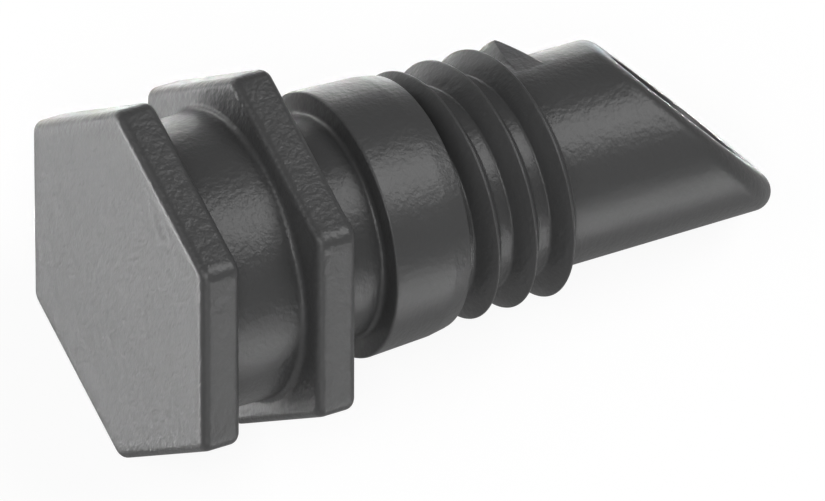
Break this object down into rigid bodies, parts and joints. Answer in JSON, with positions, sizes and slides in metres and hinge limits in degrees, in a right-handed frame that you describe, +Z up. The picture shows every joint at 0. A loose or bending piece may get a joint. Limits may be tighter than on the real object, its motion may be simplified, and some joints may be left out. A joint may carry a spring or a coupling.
{
  "type": "tube end plug",
  "caption": "One-piece plastic end plug: hexagonal double head, neck, tapered collar, short right-handed vee thread and a hollow nose cut at a slant, to close a small tube.",
  "frame": {"origin": "centre of the plug's bounding box on the surface that it lies on", "axes": "+Z up; the plug lies on the second plate's lower flat edge and on the nose's tip, its axis in the X-Z plane, 6.98 degrees nose down, nose towards +X"},
  "size_m": [0.0172, 0.0092, 0.0084],
  "materials": {
    "plug_plastic": "satin, with a fine eroded mould grain all over"
  },
  "bodies": {
    "root": {"end_plug": "plug_plastic"}
  },
  "joints": []
}
